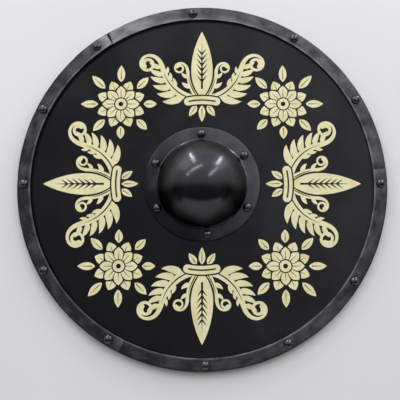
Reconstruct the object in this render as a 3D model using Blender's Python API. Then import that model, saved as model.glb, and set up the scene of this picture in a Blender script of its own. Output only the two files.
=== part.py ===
"""A wooden round shield: a board in a lapped steel rim, with a hollow steel boss
over a hand hole, domed rivets and a forged steel grip behind.

The shield lies on its back. +Z points out of its face and +Y to the top of the
face. The origin is under the middle, on the surface that the shield lies on.
Sizes are in metres and angles in degrees, anticlockwise from +X.
"""

import bmesh
import bpy
from math import atan2, cos, degrees, hypot, pi, radians, sin, sqrt
from mathutils import Matrix, Vector

# Between two pieces that touch
GAP = 0.0003

# The board, one smooth disc with a hole for the hand
SHIELD_RADIUS = 0.305
BOARD_THICKNESS = 0.010
HAND_HOLE_RADIUS = 0.062

# The rim, a U-section strip bent round the board's edge in three lengths
RIM_SHEET = 0.0015
RIM_WIDTH = 0.0217
RIM_BEND_RADIUS = 0.0025
BOARD_PLAY = 0.0005
LAP_REACH = 0.025
LAP_GAP = 0.0005
JOGGLE_LENGTH = 0.030
JOGGLE_CLEARANCE = 0.0015
NOTCH_WIDTH = 0.0085
NOTCH_TIP_WIDTH = 0.001
NOTCH_DEPTH = 0.018

# The boss, a dome and its flange in one sheet
BOSS_SHEET = 0.0018
FLANGE_RADIUS = 0.0956
DOME_RADIUS = 0.0726
DOME_HEIGHT = 0.062
CREASE_RADIUS = 0.004
FLANGE_BEVEL = 0.0006

# The rivets
SHANK_RADIUS = 0.0025
TAIL_RADIUS = 0.005
TAIL_THICKNESS = 0.002
RIM_HEAD_RADIUS = 0.0076
RIM_HEAD_HEIGHT = 0.0058
BOSS_HEAD_RADIUS = 0.0074
BOSS_HEAD_HEIGHT = 0.006

# Where the rivets were set by hand. A lap of the rim is at each of the LAP_RIVETS.
RIM_RIVET_ANGLES = (0, 29, 58, 93, 127, 154.5, 180, 209, 239.3, 271, 298, 327)
BOSS_RIVET_ANGLES = (34, 91, 156, 209, 276, 332)
LAP_RIVETS = (0, 4, 8)
GRIP_RIVETS = (1, 4)

# The grip, a strap whose middle is rolled to a half round and set into the hole
GRIP_WIDTH = 0.028
GRIP_THICKNESS = 0.0025
GRIP_END = 0.012
GRIP_RISE = 0.008
GRIP_RAMP = 0.010
GRIP_DISH = 0.006
GRIP_ROLLED_WIDTH = 0.023
GRIP_HOLE_CLEARANCE = 0.003

# How finely round shapes are cut
SWEEP_STEP = 5
WALL_CUT_STEPS = 4
BOARD_SIDES = 360 // SWEEP_STEP
BOSS_SIDES = 40
DOME_STEPS = 8
CREASE_STEPS = 2
RIVET_SIDES = 10
HEAD_STEPS = 3
GRIP_ACROSS = 6

# Heights, from the surface up. The deepest stack below the board is a lap of the
# rim with its rivet's tail, unless the grip with its rivet's tail is deeper.
LAP_RISE = RIM_SHEET + LAP_GAP
TAIL_SPACE = TAIL_THICKNESS + GAP
LAP_STACK = TAIL_SPACE + LAP_RISE + RIM_SHEET + GAP
GRIP_STACK = TAIL_SPACE + GRIP_THICKNESS + GAP
BOARD_BOTTOM = max(LAP_STACK, GRIP_STACK)
BOARD_TOP = BOARD_BOTTOM + BOARD_THICKNESS
RIM_TOP = BOARD_TOP + GAP + RIM_SHEET
RIM_BOTTOM = BOARD_BOTTOM - GAP - RIM_SHEET
FLANGE_BOTTOM = BOARD_TOP + GAP
FLANGE_TOP = FLANGE_BOTTOM + BOSS_SHEET

# Radii that follow
BOARD_RADIUS = SHIELD_RADIUS - RIM_SHEET - BOARD_PLAY
RIM_RIVET_RADIUS = SHIELD_RADIUS - RIM_WIDTH / 2
BOSS_RIVET_RADIUS = (DOME_RADIUS + FLANGE_RADIUS) / 2
HOLE_RADIUS = SHANK_RADIUS + GAP


def arc_degrees(length):
    """The angle that a length spans along the shield's edge."""
    return degrees(length / SHIELD_RADIUS)


def at_angle(radius, angle, height=0.0):
    return Vector((radius * cos(radians(angle)), radius * sin(radians(angle)), height))


def steel(name, colour, roughness):
    return principled(name, colour, roughness, metallic=0.9)


def principled(name, colour, roughness, metallic=0.0):
    material = bpy.data.materials.new(name)
    material.use_nodes = True
    shader = material.node_tree.nodes["Principled BSDF"]
    shader.inputs["Base Color"].default_value = (*colour, 1)
    shader.inputs["Roughness"].default_value = roughness
    shader.inputs["Metallic"].default_value = metallic
    return material


def add_object(name, mesh, material=None):
    """Put a mesh in the scene, shaded smooth up to its real edges."""
    mesh.shade_smooth()
    mesh.set_sharp_from_angle(angle=radians(35))
    piece = bpy.data.objects.new(name, mesh)
    bpy.context.scene.collection.objects.link(piece)
    if material and not mesh.materials:
        mesh.materials.append(material)
    return piece


def mesh_of(name, bm):
    mesh = bpy.data.meshes.new(name)
    bm.to_mesh(mesh)
    bm.free()
    return mesh


def turned(name, profile, sides, closed=False):
    """Spin (radius, height) points round +Z. They run down the outer side."""
    bm = bmesh.new()
    rings = []
    for radius, height in profile:
        if radius == 0:
            rings.append([bm.verts.new((0, 0, height))])
            continue
        angles = [360 * side / sides for side in range(sides)]
        rings.append([bm.verts.new(at_angle(radius, angle, height)) for angle in angles])
    pairs = list(zip(rings, rings[1:]))
    if closed:
        pairs.append((rings[-1], rings[0]))
    for upper, lower in pairs:
        for side in range(sides):
            after = (side + 1) % sides
            if len(upper) == 1:
                bm.faces.new((upper[0], lower[side], lower[after]))
            elif len(lower) == 1:
                bm.faces.new((upper[side], lower[0], upper[after]))
            else:
                bm.faces.new((upper[side], lower[side], lower[after], upper[after]))
    return mesh_of(name, bm)


def cut(target, cutter):
    """Take the cutter's shape out of the target, and keep the cutter as a guide."""
    cutter.hide_render = True
    cutter.display_type = "WIRE"
    modifier = target.modifiers.new(cutter.name, "BOOLEAN")
    modifier.operation = "DIFFERENCE"
    modifier.solver = "EXACT"
    modifier.object = cutter


def drill(target, places):
    """Rivet holes, right through the target, at each of the places."""
    bm = bmesh.new()
    height = 4 * (BOARD_TOP + DOME_HEIGHT)
    for place in places:
        made = bmesh.ops.create_cone(
            bm, cap_ends=True, segments=RIVET_SIDES, radius1=HOLE_RADIUS, radius2=HOLE_RADIUS, depth=height
        )
        bmesh.ops.translate(bm, verts=made["verts"], vec=(place.x, place.y, 0))
    name = f"{target.name}_drill"
    cut(target, add_object(name, mesh_of(name, bm)))


def rim_rivet_places():
    return [at_angle(RIM_RIVET_RADIUS, angle) for angle in RIM_RIVET_ANGLES]


def boss_rivet_places():
    return [at_angle(BOSS_RIVET_RADIUS, angle) for angle in BOSS_RIVET_ANGLES]


def build_board(material):
    profile = [
        (HAND_HOLE_RADIUS, BOARD_TOP),
        (BOARD_RADIUS, BOARD_TOP),
        (BOARD_RADIUS, BOARD_BOTTOM),
        (HAND_HOLE_RADIUS, BOARD_BOTTOM),
    ]
    board = add_object("board", turned("board", profile, BOARD_SIDES, closed=True), material)
    drill(board, rim_rivet_places() + boss_rivet_places())


def channel_section(rise):
    """The rim's U section as (radius, height) points, with both flats set out by
    rise. The wall stays in line with its neighbours'."""
    outside = SHIELD_RADIUS
    top = RIM_TOP + rise
    bottom = RIM_BOTTOM - rise
    inside = SHIELD_RADIUS - RIM_WIDTH
    bend = RIM_BEND_RADIUS
    corner = bend * (1 - cos(radians(45)))
    return [
        (inside, top),
        (outside - bend, top),
        (outside - corner, top - corner),
        (outside, top - bend),
        (outside, bottom + bend),
        (outside - corner, bottom + corner),
        (outside - bend, bottom),
        (inside, bottom),
        (inside, bottom + RIM_SHEET),
        (outside - RIM_SHEET, bottom + RIM_SHEET),
        (outside - RIM_SHEET, top - RIM_SHEET),
        (inside, top - RIM_SHEET),
    ]


def strip_stations(start, end, over_start, over_end):
    """The (angle, rise) pairs along a strip. An end that lies over its neighbour is
    raised past the neighbour's end, and then the joggle brings it down."""
    raised = arc_degrees(2 * LAP_REACH + JOGGLE_CLEARANCE)
    lowered = raised + arc_degrees(JOGGLE_LENGTH)
    first = start // SWEEP_STEP * SWEEP_STEP + SWEEP_STEP
    marks = [start, end]
    while first < end:
        marks.append(first)
        first += SWEEP_STEP
    if over_start:
        marks += [start + raised, start + lowered]
    if over_end:
        marks += [end - raised, end - lowered]

    def share(distance):
        return min(1, max(0, (lowered - distance) / (lowered - raised)))

    stations = []
    for angle in sorted(marks):
        near_start = share(angle - start) if over_start else 0
        near_end = share(end - angle) if over_end else 0
        stations.append((angle, LAP_RISE * max(near_start, near_end)))
    apart = arc_degrees(JOGGLE_CLEARANCE)
    kept = [stations[0]]
    for station in stations[1:-1]:
        on_grid = station[0] % SWEEP_STEP == 0
        others = [other[0] for other in stations if other is not station]
        if on_grid and min(abs(station[0] - other) for other in others) < apart:
            continue
        kept.append(station)
    return kept + [stations[-1]]


def build_rim_strip(name, first_lap, second_lap, over_first, over_second, material):
    """One length of rim, from a lap's rivet to the next one, past both by the reach."""
    start = first_lap - arc_degrees(LAP_REACH)
    end = second_lap + arc_degrees(LAP_REACH)
    bm = bmesh.new()
    rings = []
    for angle, rise in strip_stations(start, end, over_first, over_second):
        section = channel_section(rise)
        rings.append([bm.verts.new(at_angle(radius, angle, height)) for radius, height in section])
    count = len(rings[0])
    for ring, after in zip(rings, rings[1:]):
        for corner in range(count):
            follow = (corner + 1) % count
            bm.faces.new((ring[corner], ring[follow], after[follow], after[corner]))
    bm.faces.new(reversed(rings[0]))
    bm.faces.new(rings[-1])
    strip = add_object(name, mesh_of(name, bm), material)
    places = []
    for angle in RIM_RIVET_ANGLES:
        for turn in (angle - 360, angle, angle + 360):
            if start < turn < end:
                places.append(at_angle(RIM_RIVET_RADIUS, turn))
    drill(strip, places)
    beyond = arc_degrees(LAP_REACH + LAP_GAP)
    if not over_first:
        cut_wall(strip, "first_wall", first_lap - beyond, first_lap + beyond)
    if not over_second:
        cut_wall(strip, "second_wall", second_lap - beyond, second_lap + beyond)
    return strip


def cut_prism(target, name, corners, low, high):
    """Cut away an upright prism between two heights."""
    bm = bmesh.new()
    lower = [bm.verts.new((corner.x, corner.y, low)) for corner in corners]
    upper = [bm.verts.new((corner.x, corner.y, high)) for corner in corners]
    bm.faces.new(lower)
    bm.faces.new(reversed(upper))
    for index in range(len(corners)):
        after = (index + 1) % len(corners)
        bm.faces.new((lower[index], upper[index], upper[after], lower[after]))
    bmesh.ops.recalc_face_normals(bm, faces=bm.faces)
    cut(target, add_object(f"{target.name}_{name}", mesh_of(name, bm)))


def cut_wall(strip, name, first, last):
    """Take the outer wall away where the strip lies under its neighbour, so that only
    its two flats go in."""
    inner = SHIELD_RADIUS - RIM_SHEET - 2 * GAP
    angles = [first + (last - first) * step / WALL_CUT_STEPS for step in range(WALL_CUT_STEPS + 1)]
    corners = [at_angle(inner, angle) for angle in angles]
    corners += [at_angle(SHIELD_RADIUS + RIM_WIDTH, angle) for angle in reversed(angles)]
    cut_prism(strip, name, corners, -RIM_WIDTH, RIM_TOP + RIM_WIDTH)


def cut_notch(strip, lap):
    """A wedge cut from the outer edge, beside the end of the strip that laps over.
    Most of the wall below it is left."""
    side = lap - arc_degrees(LAP_REACH)
    overlap = arc_degrees(GAP)
    beyond = SHIELD_RADIUS + NOTCH_DEPTH
    tip = SHIELD_RADIUS - NOTCH_DEPTH
    corners = [
        at_angle(tip, side + overlap),
        at_angle(tip, side - arc_degrees(NOTCH_TIP_WIDTH)),
        at_angle(beyond, side - arc_degrees(2 * NOTCH_WIDTH - NOTCH_TIP_WIDTH)),
        at_angle(beyond, side + overlap),
    ]
    cut_prism(strip, "notch", corners, RIM_TOP - RIM_BEND_RADIUS, RIM_TOP + RIM_WIDTH)


def build_rim(material):
    right, upper_left, lower_left = [RIM_RIVET_ANGLES[index] for index in LAP_RIVETS]
    build_rim_strip("rim_strip_left", upper_left, lower_left, True, True, material)
    build_rim_strip("rim_strip_lower_right", lower_left, right + 360, False, True, material)
    strip = build_rim_strip("rim_strip_upper_right", right, upper_left, False, False, material)
    cut_notch(strip, upper_left)


def boss_profile():
    """Down the outer side from the crown, round the flange and back up inside."""
    sphere = (DOME_RADIUS**2 + DOME_HEIGHT**2) / (2 * DOME_HEIGHT)
    centre = FLANGE_TOP + DOME_HEIGHT - sphere
    crease_height = FLANGE_TOP + CREASE_RADIUS
    crease_out = sqrt((sphere + CREASE_RADIUS) ** 2 - (crease_height - centre) ** 2)
    tangent = atan2(crease_height - centre, crease_out)
    points = []
    for step in range(DOME_STEPS + 1):
        angle = pi / 2 + (tangent - pi / 2) * step / DOME_STEPS
        points.append((sphere * cos(angle) if step else 0, centre + sphere * sin(angle)))
    for step in range(1, CREASE_STEPS + 1):
        angle = pi + tangent + (pi / 2 - tangent) * step / CREASE_STEPS
        points.append((crease_out + CREASE_RADIUS * cos(angle), crease_height + CREASE_RADIUS * sin(angle)))
    points += [
        (FLANGE_RADIUS - FLANGE_BEVEL, FLANGE_TOP),
        (FLANGE_RADIUS, FLANGE_TOP - FLANGE_BEVEL),
        (FLANGE_RADIUS, FLANGE_BOTTOM),
    ]
    inner = sphere - BOSS_SHEET
    mouth = atan2(FLANGE_BOTTOM - centre, sqrt(inner**2 - (FLANGE_BOTTOM - centre) ** 2))
    for step in range(DOME_STEPS + 1):
        angle = mouth + (pi / 2 - mouth) * step / DOME_STEPS
        crown = step == DOME_STEPS
        points.append((0 if crown else inner * cos(angle), centre + inner * sin(angle)))
    return points


def build_boss(material):
    boss = add_object("boss", turned("boss", boss_profile(), BOSS_SIDES), material)
    drill(boss, boss_rivet_places())


def rivet_mesh(name, head_bottom, tail_top, head_radius, head_height):
    """A domed head above, a shank and a flat tail below, in one turned solid."""
    profile = []
    for step in range(HEAD_STEPS + 1):
        angle = pi / 2 * (1 - step / HEAD_STEPS)
        profile.append((head_radius * cos(angle) if step else 0, head_bottom + head_height * sin(angle)))
    profile += [
        (SHANK_RADIUS, head_bottom),
        (SHANK_RADIUS, tail_top),
        (TAIL_RADIUS, tail_top),
        (TAIL_RADIUS, tail_top - TAIL_THICKNESS),
        (0, tail_top - TAIL_THICKNESS),
    ]
    return turned(name, profile, RIVET_SIDES)


def set_rivets(names, places, longer, plain_mesh, long_mesh, material):
    """A rivet at each place, of the longer kind where it holds one thickness more."""
    for index, (name, place) in enumerate(zip(names, places)):
        mesh = long_mesh if index in longer else plain_mesh
        add_object(name, mesh, material).location = place


def build_rim_rivets(material):
    head_bottom = RIM_TOP + GAP
    tail_top = RIM_BOTTOM - GAP
    size = (RIM_HEAD_RADIUS, RIM_HEAD_HEIGHT)
    plain = rivet_mesh("rim_rivet", head_bottom, tail_top, *size)
    lap = rivet_mesh("lap_rivet", head_bottom + LAP_RISE, tail_top - LAP_RISE, *size)
    names = [f"rim_rivet_{index + 1:02d}" for index in range(len(RIM_RIVET_ANGLES))]
    set_rivets(names, rim_rivet_places(), LAP_RIVETS, plain, lap, material)


def build_boss_rivets(material):
    head_bottom = FLANGE_TOP + GAP
    tail_top = BOARD_BOTTOM - GAP
    size = (BOSS_HEAD_RADIUS, BOSS_HEAD_HEIGHT)
    plain = rivet_mesh("boss_rivet", head_bottom, tail_top, *size)
    through_grip = rivet_mesh("grip_rivet", head_bottom, tail_top - GRIP_THICKNESS - GAP, *size)
    names = [f"boss_rivet_{index + 1}" for index in range(len(BOSS_RIVET_ANGLES))]
    set_rivets(names, boss_rivet_places(), GRIP_RIVETS, plain, through_grip, material)


def grip_stations(half_length):
    """The (distance, rise share, roll share) triples along the grip's length."""
    ramp_start = HAND_HOLE_RADIUS - GRIP_HOLE_CLEARANCE
    ramp_end = ramp_start - GRIP_RAMP
    rolled = ramp_end - GRIP_RAMP
    half = [(half_length, 0, 0), (ramp_start, 0, 0), (ramp_end, 1, 0), (rolled, 1, 1), (rolled / 3, 1, 1)]
    return [(-distance, rise, roll) for distance, rise, roll in half] + half[::-1]


def build_grip(material):
    places = [boss_rivet_places()[index] for index in GRIP_RIVETS]
    along = places[0] - places[1]
    middle = (places[0] + places[1]) / 2
    turn = atan2(along.y, along.x)
    half_length = hypot(along.x, along.y) / 2 + GRIP_END
    top = BOARD_BOTTOM - GAP
    bm = bmesh.new()
    rings = []
    for distance, rise, roll in grip_stations(half_length):
        width = GRIP_WIDTH + (GRIP_ROLLED_WIDTH - GRIP_WIDTH) * roll
        ring = []
        for height, order in ((top, 1), (top - GRIP_THICKNESS, -1)):
            for step in range(GRIP_ACROSS + 1):
                across = order * (2 * step / GRIP_ACROSS - 1)
                lift = GRIP_RISE * rise + GRIP_DISH * roll * across**2
                ring.append(bm.verts.new((distance, width / 2 * across, height + lift)))
        rings.append(ring)
    count = len(rings[0])
    for ring, after in zip(rings, rings[1:]):
        for corner in range(count):
            follow = (corner + 1) % count
            bm.faces.new((ring[corner], after[corner], after[follow], ring[follow]))
    bm.faces.new(rings[0])
    bm.faces.new(reversed(rings[-1]))
    bmesh.ops.recalc_face_normals(bm, faces=bm.faces)
    bmesh.ops.rotate(bm, verts=bm.verts, matrix=Matrix.Rotation(turn, 3, "Z"))
    bmesh.ops.translate(bm, verts=bm.verts, vec=middle)
    grip = add_object("grip", mesh_of("grip", bm), material)
    drill(grip, places)


def build_shield():
    for old in list(bpy.data.objects):
        bpy.data.objects.remove(old)
    paint = principled("black_paint", (0.012, 0.012, 0.014), 0.6)
    rim_steel = steel("smoke_blackened_steel", (0.085, 0.085, 0.09), 0.48)
    boss_steel = steel("polished_black_steel", (0.055, 0.055, 0.06), 0.25)
    rivet_steel = steel("black_rivet_steel", (0.03, 0.03, 0.032), 0.35)
    grip_steel = steel("forged_steel", (0.06, 0.058, 0.056), 0.55)
    build_board(paint)
    build_rim(rim_steel)
    build_boss(boss_steel)
    build_rim_rivets(rivet_steel)
    build_boss_rivets(rivet_steel)
    build_grip(grip_steel)


build_shield()
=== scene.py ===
"""The look of a wooden round shield: a black board painted with pale gold sprays and
rosettes, in a smoke-blackened steel rim, with a polished black boss, hand-set rivets
and a forged grip behind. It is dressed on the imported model's frame, in metres.
+Z points out of the painted face and +Y to its top.
"""

from math import atan2, ceil, cos, degrees, dist, hypot, pi, radians, sin, sqrt

import bmesh
import bpy
import numpy as np
from mathutils import Matrix, Vector
from mathutils.geometry import delaunay_2d_cdt


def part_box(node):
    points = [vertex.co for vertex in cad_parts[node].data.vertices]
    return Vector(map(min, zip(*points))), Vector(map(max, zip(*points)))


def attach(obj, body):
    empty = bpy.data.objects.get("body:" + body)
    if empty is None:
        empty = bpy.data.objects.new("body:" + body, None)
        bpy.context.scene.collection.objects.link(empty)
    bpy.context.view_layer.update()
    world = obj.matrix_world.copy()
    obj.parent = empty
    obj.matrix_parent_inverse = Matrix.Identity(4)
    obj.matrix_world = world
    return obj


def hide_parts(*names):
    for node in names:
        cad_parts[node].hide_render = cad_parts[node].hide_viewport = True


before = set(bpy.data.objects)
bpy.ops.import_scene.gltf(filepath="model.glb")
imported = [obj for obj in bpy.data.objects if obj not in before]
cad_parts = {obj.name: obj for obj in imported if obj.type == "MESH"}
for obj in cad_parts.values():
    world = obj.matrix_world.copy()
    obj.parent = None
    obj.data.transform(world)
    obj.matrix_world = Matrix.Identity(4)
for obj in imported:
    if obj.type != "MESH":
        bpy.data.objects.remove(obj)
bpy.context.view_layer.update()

# Sizes from the part's source, in metres, with angles in degrees
GAP = 0.0003
SHIELD_RADIUS = 0.305
HAND_HOLE_RADIUS = 0.062
RIM_SHEET = 0.0015
RIM_WIDTH = 0.0217
RIM_BEND_RADIUS = 0.0025
LAP_REACH = 0.025
LAP_GAP = 0.0005
LAP_RISE = RIM_SHEET + LAP_GAP
JOGGLE_LENGTH = 0.030
JOGGLE_CLEARANCE = 0.0015
NOTCH_WIDTH = 0.0085
NOTCH_TIP_WIDTH = 0.001
NOTCH_DEPTH = 0.018
BOSS_SHEET = 0.0018
FLANGE_RADIUS = 0.0956
DOME_RADIUS = 0.0726
DOME_HEIGHT = 0.062
CREASE_RADIUS = 0.004
SHANK_RADIUS = 0.0025
TAIL_RADIUS = 0.005
TAIL_THICKNESS = 0.002
RIM_HEAD = (0.0076, 0.0058)
BOSS_HEAD = (0.0074, 0.006)
RIM_RIVET_ANGLES = (0, 29, 58, 93, 127, 154.5, 180, 209, 239.3, 271, 298, 327)
BOSS_RIVET_ANGLES = (34, 91, 156, 209, 276, 332)
LAP_RIVETS = (0, 4, 8)
GRIP_RIVETS = (1, 4)
GRIP_WIDTH = 0.028
GRIP_THICKNESS = 0.0025
GRIP_END = 0.012
GRIP_RISE = 0.008
GRIP_RAMP = 0.010
GRIP_DISH = 0.006
GRIP_ROLLED_WIDTH = 0.023
GRIP_HOLE_CLEARANCE = 0.003

# Heights and radii that follow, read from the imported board
board_low, board_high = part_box("board")
BOARD_RADIUS = board_high.x
BOARD_BOTTOM, BOARD_TOP = board_low.z, board_high.z
RIM_TOP = BOARD_TOP + GAP + RIM_SHEET
RIM_BOTTOM = BOARD_BOTTOM - GAP - RIM_SHEET
FLANGE_BOTTOM = BOARD_TOP + GAP
FLANGE_TOP = FLANGE_BOTTOM + BOSS_SHEET
RIM_RIVET_RADIUS = SHIELD_RADIUS - RIM_WIDTH / 2
BOSS_RIVET_RADIUS = (DOME_RADIUS + FLANGE_RADIUS) / 2
HOLE_RADIUS = SHANK_RADIUS + GAP

# How light the rim is drawn, from 0 to 1 at these angles: painted light makes it lighter
# across the top, it is brightest where the upper-left lap was filed, and painted shade
# makes it darkest along the lower left
WEAR_AND_PAINTED_LIGHT = (
    (0, 0.2), (25, 0.2), (45, 0.3), (95, 0.32), (112, 0.7), (121, 0.72), (129, 0.2), (145, 0.09),
    (165, 0.08), (180, 0.05), (225, 0.03), (270, 0.14), (305, 0.24), (330, 0.17), (360, 0.2),
)
# How far the filing reaches along the end of a strip that laps over and how much it
# rubs off, then how far the painted shade of the step reaches beside that end and how much it darkens
FILED_REACH, FILED_GAIN = 0.02, 0.3
SEAM_SHADE_REACH, SEAM_SHADE_STRENGTH = 0.006, 0.7
# How much of the rim's lightness is kept on the floor of the notch, which is drawn darker
NOTCH_FLOOR_LIGHTNESS = 0.25
# How wide the upper-left lap gapes at the outer edge
SEAM_WIDTH = 0.003
# The rounded corners of an end that laps over, and the degrees between sections
RIM_CORNER = 0.004
SECTION_STEP = 0.45
# How far the back edge of the hand hole is rounded
HOLE_ROUNDING = 0.0015
# How many sides the board's edge, its hand hole and its rivet holes have
EDGE_SIDES, HAND_HOLE_SIDES, RIVET_HOLE_SIDES = 360, 144, 16
# Edges sharper than this, in degrees, stay sharp where a piece is shaded smooth
SHARP_ANGLE = 35
# Corners that are nearer than this are one
MERGE_DISTANCE = 2e-6

# The board's finishes: the two paints of its face, its back and its bare edges
BLACK, GOLD, BACK, BARE = range(4)
# The longest straight step along a brush stroke, the shortest one kept in its
# outline and its thinnest dark line, in millimetres
BRUSH_STEP, LEAST_STEP, THINNEST_LINE = 1.6, 0.05, 1.5


def at_angle(radius, angle, height=0.0):
    return Vector((radius * cos(radians(angle)), radius * sin(radians(angle)), height))


def arc_degrees(length):
    """The angle that a length spans along the shield's edge."""
    return degrees(length / SHIELD_RADIUS)


def angle_between(first, second):
    return abs((first - second + 180) % 360 - 180)


def smooth(share):
    share = min(1, max(0, share))
    return share * share * (3 - 2 * share)


def hex_colour(code):
    """An sRGB hex colour as linear red, green, blue and alpha."""
    parts = [int(code[place : place + 2], 16) / 255 for place in (1, 3, 5)]
    return (*[part / 12.92 if part <= 0.04045 else ((part + 0.055) / 1.055) ** 2.4 for part in parts], 1)


def add_node(tree, kind, settings=None, links=None):
    """Add a node, set its own settings, its sockets or its colour stops, link its
    sockets to outputs, and give back its own outputs. A colour is a hex code."""
    node = tree.nodes.new(kind)
    for name, value in (settings or {}).items():
        if name == "stops":
            elements = node.color_ramp.elements
            while len(elements) < len(value):
                elements.new(0.5)
            for element, (place, code) in zip(elements, value):
                element.position, element.color = place, hex_colour(code)
        elif isinstance(name, str) and hasattr(node, name):
            setattr(node, name, value)
        else:
            coded = isinstance(value, str) and value.startswith("#")
            node.inputs[name].default_value = hex_colour(value) if coded else value
    link(tree, node, links or {})
    return node.outputs


def link(tree, node, links):
    for name, source in links.items():
        tree.links.new(source, node.inputs[name])


# Brush strokes, in millimetres from the middle of the face


def tendril(start, heading, spans):
    """Points along a stem that starts at a heading and bends span by span. A span is
    its length and its turn in degrees per millimetre at its start and at its end."""
    x, y = start
    angle = radians(heading)
    points = [(x, y)]
    for length, bend_in, bend_out in spans:
        count = max(2, ceil(length / BRUSH_STEP))
        stride = length / count
        for index in range(count):
            turn = radians(bend_in + (bend_out - bend_in) * (index + 0.5) / count) * stride
            angle += turn / 2
            x += stride * cos(angle)
            y += stride * sin(angle)
            angle += turn / 2
            points.append((x, y))
    return points


def headings(points):
    last = len(points) - 1
    found = []
    for index in range(len(points)):
        before, after = points[max(0, index - 1)], points[min(last, index + 1)]
        found.append(atan2(after[1] - before[1], after[0] - before[0]))
    return found


def part_of(points, first, last):
    count = len(points) - 1
    return points[round(first * count) : round(last * count) + 1]


def leaf_width(share, belly=0.4):
    """Pointed at both ends and widest at the belly."""
    reach = share / belly if share < belly else (1 - share) / (1 - belly)
    return sin(pi / 2 * reach**0.8) ** (1 if share < belly else 1.15) if reach > 0 else 0


def tail_width(share):
    """Widest at the start and drawn out to a point."""
    return max(0.0, 1 - share) ** 0.65


def scroll_width(share):
    """Full at the start, slim where it curls, with a round bud at the end."""
    slim = min(1, share / 0.6) ** 1.15
    bud = max(0.0, (share - 0.93) / 0.07)
    return 1 - 0.68 * slim + 0.26 * sin(pi / 2 * bud)


def even_width(share):
    return 1


def stroke(points, width, profile, round_ends=False):
    """The outline of one brush stroke along the points."""
    last = len(points) - 1
    turns = headings(points)
    left, right, start, end = [], [], [], []
    for index, ((x, y), turn) in enumerate(zip(points, turns)):
        half = width / 2 * profile(index / last)
        left.append((x - half * sin(turn), y + half * cos(turn)))
        right.append((x + half * sin(turn), y - half * cos(turn)))
    if round_ends:
        for ends, index, about in ((end, last, turns[-1]), (start, 0, turns[0] + pi)):
            x, y = points[index]
            half = width / 2 * profile(index / last)
            count = max(3, int(half * 2.2))
            for step in range(1, count):
                angle = about + pi / 2 - pi * step / count
                ends.append((x + half * cos(angle), y + half * sin(angle)))
    kept = []
    for point in left + end + right[::-1] + start:
        if not kept or dist(point, kept[-1]) > LEAST_STEP:
            kept.append(point)
    if dist(kept[0], kept[-1]) < LEAST_STEP:
        kept.pop()
    return kept


def leaf(start, heading, length, width, veins=0, belly=0.4):
    """A gold leaf with a dark rib and side veins."""
    path = tendril(start, heading, [(length, 0, 0)])
    layers = [(stroke(path, width, lambda share: leaf_width(share, belly)), GOLD)]
    layers.append((stroke(part_of(path, 0.14, 0.84), max(THINNEST_LINE, width * 0.1), tail_width), BLACK))
    for index in range(veins):
        share = 0.2 + 0.5 * (index + 0.5) / veins
        x, y = path[round(share * (len(path) - 1))]
        reach = 1.25 * width * 0.36 * leaf_width(share, belly)
        for side in (1, -1):
            angle = radians(heading + side * 38)
            across, up = reach * cos(angle), reach * sin(angle)
            vein = [(x + across * part, y + up * part) for part in (0, 0.5, 1)]
            layers.append((stroke(vein, max(THINNEST_LINE, width * 0.085), tail_width), BLACK))
    return layers


def leaflets(path, first, last, count, length, width, side, lean, shrink, base):
    """A row of flame-shaped leaves along one side of a stem, bent along it."""
    turns = headings(path)
    layers = []
    for index in range(count):
        along = index / (count - 1)
        spot = round((first + (last - first) * along) * (len(path) - 1))
        size = 1 - shrink * along
        turn = turns[spot]
        root = (path[spot][0] - side * base * sin(turn), path[spot][1] + side * base * cos(turn))
        reach = length * size
        flame = tendril(root, degrees(turn) + side * lean, [(reach, side * -0.4, side * -70 / reach)])
        layers.append((stroke(flame, width * size, lambda share: leaf_width(share, 0.3)), GOLD))
    return layers


def stem(path, width, line, line_end):
    """A scroll with a dark line drawn along its body."""
    inside = part_of(path, 0.05, line_end)
    return [
        (stroke(path, width, scroll_width, round_ends=True), GOLD),
        (stroke(inside, line, lambda share: leaf_width(share, 0.3)), BLACK),
    ]


def mirrored(layers):
    return [([(-x, y) for x, y in ring], tone) for ring, tone in layers]


def turned_by(layers, angle):
    c, s = cos(radians(angle)), sin(radians(angle))
    return [([(c * x - s * y, s * x + c * y) for x, y in ring], tone) for ring, tone in layers]


def circle(radius, sides, centre=(0, 0)):
    angles = [2 * pi * side / sides for side in range(sides)]
    return [(centre[0] + radius * cos(angle), centre[1] + radius * sin(angle)) for angle in angles]


def half_spray():
    """The right-hand side of a spray, whose axis is +Y."""
    outer = tendril((8, 143), 8, [(80, 0.85, 0.80), (22, 0.2, -2.4), (104, -2.5, -7.8)])
    layers = leaflets(outer, 0.12, 0.42, 6, 36, 12.5, -1, lean=58, shrink=0.35, base=2.5)
    layers += leaflets(outer, 0.22, 0.36, 3, 17, 7.5, 1, lean=46, shrink=0.2, base=2.5)
    layers += stem(outer, 15, 2.1, 0.4)
    inner = tendril((4, 144), 48, [(50, 0.80, 0.62), (12, 0.2, -3.8), (62, -4.4, -11)])
    layers += leaflets(inner, 0.2, 0.34, 2, 18, 7.5, -1, lean=50, shrink=0.2, base=1.5)
    layers += stem(inner, 10.5, 1.7, 0.36)
    return layers


def spray():
    """One foliate spray along +Y, with a spear leaf and a binding band."""
    half = half_spray()
    layers = half + mirrored(half)
    layers.append((stroke(tendril((0, 144), 90, [(116, 0, 0)]), 42, leaf_width), BLACK))
    layers += leaf((0, 146), 90, 116, 36, veins=6)
    for side, length in ((-1, 22), (0, 28), (1, 22)):
        layers += leaf((9 * side, 133), -90 + 34 * side, length, 11)
    band = tendril((-23, 140), 12, [(47, -0.51, -0.51)])
    layers.append((stroke(band, 19, even_width, round_ends=True), BLACK))
    layers.append((stroke(band, 14, even_width, round_ends=True), GOLD))
    layers.append((stroke(part_of(band, 0.03, 0.97), 2.6, even_width, round_ends=True), BLACK))
    return layers


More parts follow.
